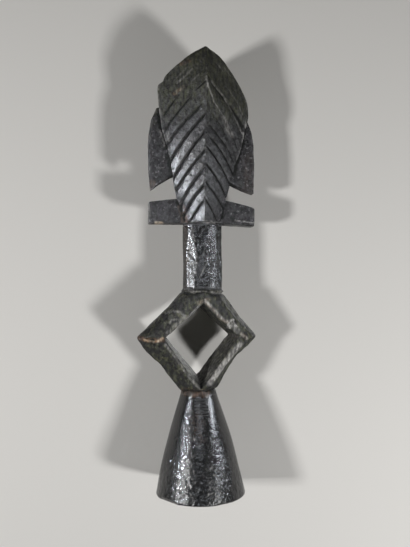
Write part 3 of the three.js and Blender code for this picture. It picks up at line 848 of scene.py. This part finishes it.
def painted(mesh, places, normals):
    """Shares for the material, by place: how glossy, worn, cream, brown, olive, mottled, crusted,
    hollow or lumpy a point is, from 0 to 1, and for the gloss down to -0.5 in the head's hollows.
    Arrises wear, and hollows get painted shade: a point stands out from the mean of its neighbours,
    along its normal, or lies below it."""
    x, y, level = places.T
    front = step(normals[:, 1], 0.35, 0.0)
    stand = np.einsum("ij,ij->i", places - neighbours_mean(mesh, places), normals)
    for _ in range(2):
        stand = neighbours_mean(mesh, stand)
    broken = 0.5 + 0.5 * lumps(places, 3.2, seed=41)
    ragged = np.clip(0.72 + 0.75 * lumps(places, 1.8, seed=42), 0, 1)
    in_head = (level - HEAD_BASE) / HEAD_HEIGHT
    on_foot = 1 - step(level, FOOT_HEIGHT - 3, FOOT_HEIGHT + 2)
    on_neck = band(level, NECK_BASE + 1, NECK_BASE + 4, HEAD_BASE - 2, HEAD_BASE)
    on_lozenge = band(level, FOOT_HEIGHT - 1, FOOT_HEIGHT + 3, NECK_BASE, NECK_BASE + 3)
    on_head = step(level, HEAD_BASE - 2, HEAD_BASE)
    shares = {name: 0 * level for name in ("cream", "brown", "hollow_shade")}
    shares["worn"] = 0.42 * step(stand, 0.05, 0.18) * step(broken, 0.3, 0.7) * (1 - on_foot)
    for name, strength, width, run in MARKS:
        mark = strength * (1 - step(along(places, run), 0.3 * width, 1.1 * width)) * front
        edge = mix(ragged, 1, 0.5) if width > WIDE_MARK else ragged
        shares[name] = np.maximum(shares[name], mark * edge)
    shares["brown"] = np.maximum(shares["brown"], 0.35 * on_neck * step(x, -10, -14) * broken)

    # The two chevron facets look forward and lie in front of the wings. Their lower part is handled
    # and satin, most of all on the left, while foot and neck have a thick shiny coat
    leaf = step(-normals[:, 1], 0.4, 0.7) * step(-y, WING_FRONT + 2, WING_FRONT + 4.5) * on_head
    left = step(-normals[:, 0], -0.05, 0.05)
    rise = in_head + 0.3 * np.abs(x) / (HEAD_WIDTH / 2)
    low = 1 - step(rise, mix(0.42, 0.5, left), mix(0.62, 0.84, left))
    low_foot = on_foot * (1 - step(level, 16, 50))
    gloss = np.maximum(0.1, 0.9 * on_foot)
    gloss = np.maximum(gloss, 0.9 * on_neck)
    gloss = np.maximum(gloss, leaf * low * mix(0.51, 0.74, left))

    # Painted shade: hollows, the bottoms of the foot's scratches and the hollow marks are painted dark
    # and lose the gloss. On the head the gloss goes below 0, which is dry and matt
    hollow_shade = step(-stand, 0.005, 0.05) * (1 - on_foot) * (1 - 0.6 * on_neck)
    hollow_shade = np.maximum(hollow_shade, 0.7 * front * np.maximum(-fine_cuts(places), 0))
    hollow_shade = np.maximum(hollow_shade, shares["hollow_shade"])
    shares["gloss"] = gloss * (1 - hollow_shade) - 0.5 * hollow_shade * on_head
    shares["hollow_shade"] = hollow_shade

    # Away from the satin facets the crown is greenish and the rest of the head mottled, the lozenge is
    # greenish and crusted, and the coat is lumpiest low on the foot
    dull = on_head * (1 - leaf * low)
    olive = np.maximum(dull * step(in_head, 0.5, 0.7), on_lozenge)
    shares["olive"] = np.clip(olive * (0.62 + 0.55 * broken), 0, 1)
    mottled = on_head * (1 - step(in_head, 0.55, 0.75)) * (1 - leaf) + 0.25 * leaf
    shares["mottled"] = np.clip(mottled, 0, 1)
    shares["crust"] = on_lozenge
    lumpy = 0.35 + 0.32 * low_foot + 0.12 * on_neck - 0.18 * on_foot + 0.15 * leaf * left
    shares["lumpy"] = np.clip(lumpy, 0, 1)
    return shares


def carved_figure():
    """The finished figure: the united skin moves out by the relief along its normals, is scarred,
    chipped and worn, and each of its points gets its shares for the material."""
    mesh = united()
    places, normals = read(mesh)
    places = worn_crest(chipped(scarred(places + relief(places)[:, None] * normals)))
    write(mesh, places)
    places, normals = read(mesh)
    for name, share in painted(mesh, places, normals).items():
        layer = mesh.attributes.new(name, "FLOAT", "POINT")
        layer.data.foreach_set("value", share.astype(np.float32))
    mesh.polygons.foreach_set("use_smooth", np.ones(len(mesh.polygons), bool))
    mesh.set_sharp_from_angle(angle=np.radians(SHARP_TURN))
    return placed("carved_figure", mesh)


def linear(code):
    """Linear colour from an sRGB hex code."""
    parts = [int(code[i:i + 2], 16) / 255 for i in (1, 3, 5)]
    return [p / 12.92 if p <= 0.04045 else ((p + 0.055) / 1.055) ** 2.4 for p in parts] + [1.0]


def emptied_tree(holder):
    """The node tree of a new material or world, with nothing in it yet."""
    holder.use_nodes = True
    holder.node_tree.nodes.clear()
    return holder.node_tree


def add(tree, kind, inputs=None, **settings):
    """Adds a node: settings are its own properties, and an input is a value or another node's socket."""
    made = tree.nodes.new(kind)
    for name, value in settings.items():
        setattr(made, name, value)
    for name, value in (inputs or {}).items():
        if isinstance(value, bpy.types.NodeSocket):
            tree.links.new(value, made.inputs[name])
        else:
            made.inputs[name].default_value = value
    return made


def patinated_hardwood():
    """Dense hardwood, hand carved, smoked and oiled: nearly black, tarry and shiny where it is
    handled, dull with painted shade of greenish black in the hollows, grey on worn arrises, where the
    same grey also paints some highlights and light, and pale brown in fresh breaks."""
    material = bpy.data.materials.new("patinated_hardwood")
    tree = emptied_tree(material)
    place = add(tree, "ShaderNodeTexCoord").outputs["Object"]
    share = {}
    for name in ("gloss", "worn", "cream", "brown", "olive", "mottled", "crust", "hollow_shade", "lumpy"):
        share[name] = add(tree, "ShaderNodeAttribute", attribute_name=name).outputs["Fac"]

    # Patterns by real size in millimetres: smoke and oil in blotches, grain that runs up the block,
    # bloom, dark flecks, haze, dust, pits and crumbs of the crust, ripples and lumps of the coat. The
    # pores are drawn three times as coarse as they are. Each is noise of that size, whose values from
    # the first threshold to the second become 0 to 1
    pattern = {}
    for name, size, detail, stretch, start, end in (
        ("blotch", 12, 3, 1, 0.35, 0.65), ("grain", 2.2, 3, 3, 0.4, 0.62), ("bloom", 5.5, 4, 1, 0.4, 0.62),
        ("fleck", 3.0, 4, 1, 0.47, 0.58), ("haze", 3.6, 4, 1.5, 0.5, 0.68), ("dust", 2.6, 5, 1, 0.58, 0.72),
        ("pit", 4.4, 6, 1.4, 0.45, 0.55), ("crumb", 3.4, 4, 1, 0.54, 0.7), ("ripple", 3.6, 3, 1, 0, 1),
        ("lump", 3.8, 1, 1, 0, 1), ("pore", 1.3, 1, 1, 0, 1),
    ):
        turned = add(tree, "ShaderNodeMapping", {"Vector": place, "Scale": [1, 1, 1 / stretch]})
        noise = add(tree, "ShaderNodeTexNoise", {
            "Vector": turned.outputs["Vector"], "Scale": 1 / (size * MM), "Detail": detail,
        })
        pattern[name] = add(tree, "ShaderNodeMapRange", {
            "Value": noise.outputs["Fac"], "From Min": start, "From Max": end,
        }).outputs["Result"]

    # Coats of colour over the bare wood, from the lowest to the topmost: what shows them, the pattern
    # that breaks them up, their strength, and their colour in the valleys of the grain and on its ridges
    colour = add(tree, "ShaderNodeMix", {
        0: pattern["blotch"], 6: linear("#0d0e10"), 7: linear("#19191a"),
    }, data_type="RGBA").outputs[2]
    for shown, breaks, strength, valley, ridge in (
        (1.0, "grain", 0.4, "#2a2928", "#2a2928"),
        (1.0, "haze", 0.35, "#3a3a3a", "#454545"),
        (1.0, "fleck", 0.6, "#070707", "#0c0c0b"),
        ("olive", None, 0.8, "#1a1c11", "#44452f"),
        ("mottled", "bloom", 0.9, "#2d2b2f", "#3d3a3f"),
        ("mottled", "pit", 0.85, "#0b0a0b", "#141214"),
        ("mottled", "dust", 0.7, "#807d80", "#807d80"),
        ("crust", "crumb", 0.55, "#494837", "#82806d"),
        ("crust", "pit", 0.95, "#070705", "#141112"),
        ("brown", None, 1.0, "#35281f", "#664b39"),
        # Painted shade: near black in the hollows, grooves, scratch bottoms and painted shadow lines
        ("hollow_shade", None, 0.95, "#080906", "#080906"),
        # Pale grey of worn arrises and breaks, which some worn marks use as painted highlights and light
        ("worn", None, 1.0, "#6c6a67", "#c4c1bd"),
        ("cream", None, 1.0, "#97785b", "#d9c9b0"),
    ):
        own = add(tree, "ShaderNodeMix", {
            0: pattern["grain"], 6: linear(valley), 7: linear(ridge),
        }, data_type="RGBA").outputs[2]
        amount = add(tree, "ShaderNodeMath", {
            0: pattern[breaks] if breaks else 1.0, 1: strength,
        }, operation="MULTIPLY").outputs[0]
        amount = add(tree, "ShaderNodeMath", {
            0: share[shown] if shown in share else shown, 1: amount,
        }, operation="MULTIPLY").outputs[0]
        colour = add(tree, "ShaderNodeMix", {0: amount, 6: colour, 7: own}, data_type="RGBA").outputs[2]

    # From dry wood (0.7) to a thick shiny coat (0.2), and up to 0.95 where the gloss goes below 0 in
    # the head's hollows. The flecks are duller where the coat is thin
    sheen = add(tree, "ShaderNodeMapRange", {
        "Value": share["gloss"], "To Min": 0.7, "To Max": 0.2,
    }, clamp=False)
    thin = add(tree, "ShaderNodeMapRange", {
        "Value": share["gloss"], "From Min": 0.75, "From Max": 0.88, "To Min": 0.25, "To Max": 0.02,
    })
    rough = add(tree, "ShaderNodeMath", {
        0: pattern["fleck"], 1: thin.outputs["Result"], 2: sheen.outputs["Result"],
    }, operation="MULTIPLY_ADD").outputs[0]

    # Height of the coat: pores and lumps where it is lumpy, and ripples, faint on the smooth upper foot
    coat = add(tree, "ShaderNodeMath", {
        0: pattern["lump"], 1: 3.0, 2: pattern["pore"],
    }, operation="MULTIPLY_ADD").outputs[0]
    rippled = add(tree, "ShaderNodeMapRange", {
        "Value": share["lumpy"], "From Min": 0.17, "From Max": 0.35, "To Min": 0.25, "To Max": 0.9,
    })
    ripple = add(tree, "ShaderNodeMath", {
        0: pattern["ripple"], 1: rippled.outputs["Result"],
    }, operation="MULTIPLY").outputs[0]
    skin = add(tree, "ShaderNodeMath", {
        0: pattern["pore"], 1: 0.2, 2: ripple,
    }, operation="MULTIPLY_ADD").outputs[0]
    height = add(tree, "ShaderNodeMath", {0: coat, 1: share["lumpy"], 2: skin},
                 operation="MULTIPLY_ADD").outputs[0]
    bump = add(tree, "ShaderNodeBump", {"Height": height, "Strength": 0.85, "Distance": 0.5 * MM})
    shader = add(tree, "ShaderNodeBsdfPrincipled", {
        "Base Color": colour, "Roughness": rough, "IOR": 1.52, "Normal": bump.outputs["Normal"],
    })
    add(tree, "ShaderNodeOutputMaterial", {"Surface": shader.outputs["BSDF"]})
    return material


figure = carved_figure()
figure.data.materials.append(patinated_hardwood())
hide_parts("reliquary_figure")
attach(figure, "root")


def directions(turn, tilt):
    """Right, up and forward of a view along +Y that turns to the right and tilts up by degrees."""
    turn, tilt = np.radians(turn), np.radians(tilt)
    forward = Vector((np.sin(turn) * np.cos(tilt), np.cos(turn) * np.cos(tilt), np.sin(tilt)))
    rightward = forward.cross(Vector((0, 0, 1))).normalized()
    return rightward, rightward.cross(forward), forward


rightward, upward, forward = directions(CAMERA_TURN, CAMERA_TILT)
camera_data = bpy.data.cameras.new("camera")
camera_data.lens = CAMERA_LENS
camera_data.sensor_width = CAMERA_SENSOR
camera_data.clip_start = 0.01
camera = placed("camera", camera_data)
pose = Matrix((rightward, upward, -forward)).transposed().to_4x4()
pose.translation = Vector(CAMERA_PLACE) * MM
camera.matrix_world = pose
bpy.context.scene.camera = camera

# The board: a plane just behind the foot's rim and the back of the head. It casts no shadow, so that
# the light behind it reaches the figure, and a camera behind it looks through it
board_right, board_up, board_away = directions(BOARD_TURN, BOARD_TILT)
board_middle = board_away * BOARD_GAP * MM + Vector((0, 0, MIDDLE_HEIGHT * MM))
board_corners = [
    tuple(board_middle + board_right * across * BOARD_HALF + board_up * lengthwise * BOARD_HALF)
    for across, lengthwise in ((-1, -1), (1, -1), (1, 1), (-1, 1))
]
table_mesh = bpy.data.meshes.new("table")
table_mesh.from_pydata(board_corners, [], [(0, 1, 2, 3)])
table = placed("table", table_mesh)
table.visible_shadow = False

# Painted board: matt, even and pale
painted_board = bpy.data.materials.new("painted_board")
tree = emptied_tree(painted_board)
paint = add(tree, "ShaderNodeBsdfPrincipled", {
    "Base Color": linear("#d2d0cc"), "Roughness": 0.9, "Specular IOR Level": 0.0,
})
nothing = add(tree, "ShaderNodeBsdfTransparent")
side = add(tree, "ShaderNodeNewGeometry")
either = add(tree, "ShaderNodeMixShader", {
    0: side.outputs["Backfacing"], 1: paint.outputs["BSDF"], 2: nothing.outputs["BSDF"],
})
add(tree, "ShaderNodeOutputMaterial", {"Surface": either.outputs["Shader"]})
table_mesh.materials.append(painted_board)


def lamp(name, direction, distance, size, power, colour="#ffffff", aim=MIDDLE_HEIGHT, beam=180):
    """A square light of that size and distance in metres and power in watts. It stands in a direction
    given as (right, up, towards the camera) from a height on the figure's axis in millimetres and
    faces it, with a beam of that many degrees."""
    data = bpy.data.lights.new(name, "AREA")
    data.shape = "SQUARE"
    data.size = size
    data.energy = power
    data.color = linear(colour)[:3]
    data.spread = np.radians(beam)
    made = placed(name, data)
    right, up, toward = direction
    way = (rightward * right + upward * up - forward * toward).normalized()
    made.location = Vector((0, 0, aim * MM)) + way * distance
    made.rotation_euler = (-way).to_track_quat("-Z", "Y").to_euler()
    return made


# Two soft lights cast the two shadows, and one lights the back: direction, distance, size and power
lamp("light_right", (0.933, -0.576, 1), 0.961, 0.12, 6.1)
lamp("light_left", (-0.952, -0.213, 1), 1.093, 0.13, 7.4)
lamp("light_behind", (0.5, 0.6, -1), 1.8, 1.2, 38)

# Narrow cool lights that only the shine shows, placed for the photo's viewing angle: direction,
# height aimed at, beam, size and power
SHEEN_DISTANCE = 0.8
for name, direction, aim, beam, size, power in (
    ("sheen_neck_left", (-0.86, 0.0, 0.51), 216, 5.5, 0.1, 0.0088),
    ("sheen_neck_right", (0.7, 0.0, 0.71), 216, 6, 0.14, 0.0225),
    ("sheen_neck_side", (0.98, 0.0, 0.2), 216, 6, 0.14, 0.0072),
    ("sheen_neck_front", (0.1, 0.0, 1), 216, 10, 0.14, 0.0115),
    ("sheen_foot_left", (-0.776, 0.43, 0.46), 14, 8, 0.08, 0.066),
    ("sheen_foot_front", (0.0, 0.5, 0.87), 8, 18, 0.2, 0.026),
    ("sheen_foot_right", (0.825, 0.418, 0.378), -36, 16, 0.2, 0.15),
    ("sheen_head_left", (-0.93, -0.1, 0.35), 268, 11, 0.15, 0.14),
    ("sheen_head_right", (0.93, -0.1, 0.35), 270, 10, 0.2, 0.035),
):
    sheen = lamp(name, direction, SHEEN_DISTANCE, size, power, "#ecf2fb", aim, beam)
    sheen.visible_diffuse = False

# The surroundings light the figure faintly, and are pale where the camera looks at them directly
world = bpy.data.worlds.new("studio")
bpy.context.scene.world = world
tree = emptied_tree(world)
ray = add(tree, "ShaderNodeLightPath")
dim = add(tree, "ShaderNodeBackground", {"Color": linear("#ffffff"), "Strength": 0.008})
pale = add(tree, "ShaderNodeBackground", {"Color": linear("#c9c8c6"), "Strength": 1.0})
seen = add(tree, "ShaderNodeMixShader", {
    0: ray.outputs["Is Camera Ray"], 1: dim.outputs["Background"], 2: pale.outputs["Background"],
})
add(tree, "ShaderNodeOutputWorld", {"Surface": seen.outputs["Shader"]})
bpy.context.scene.view_settings.view_transform = "Standard"
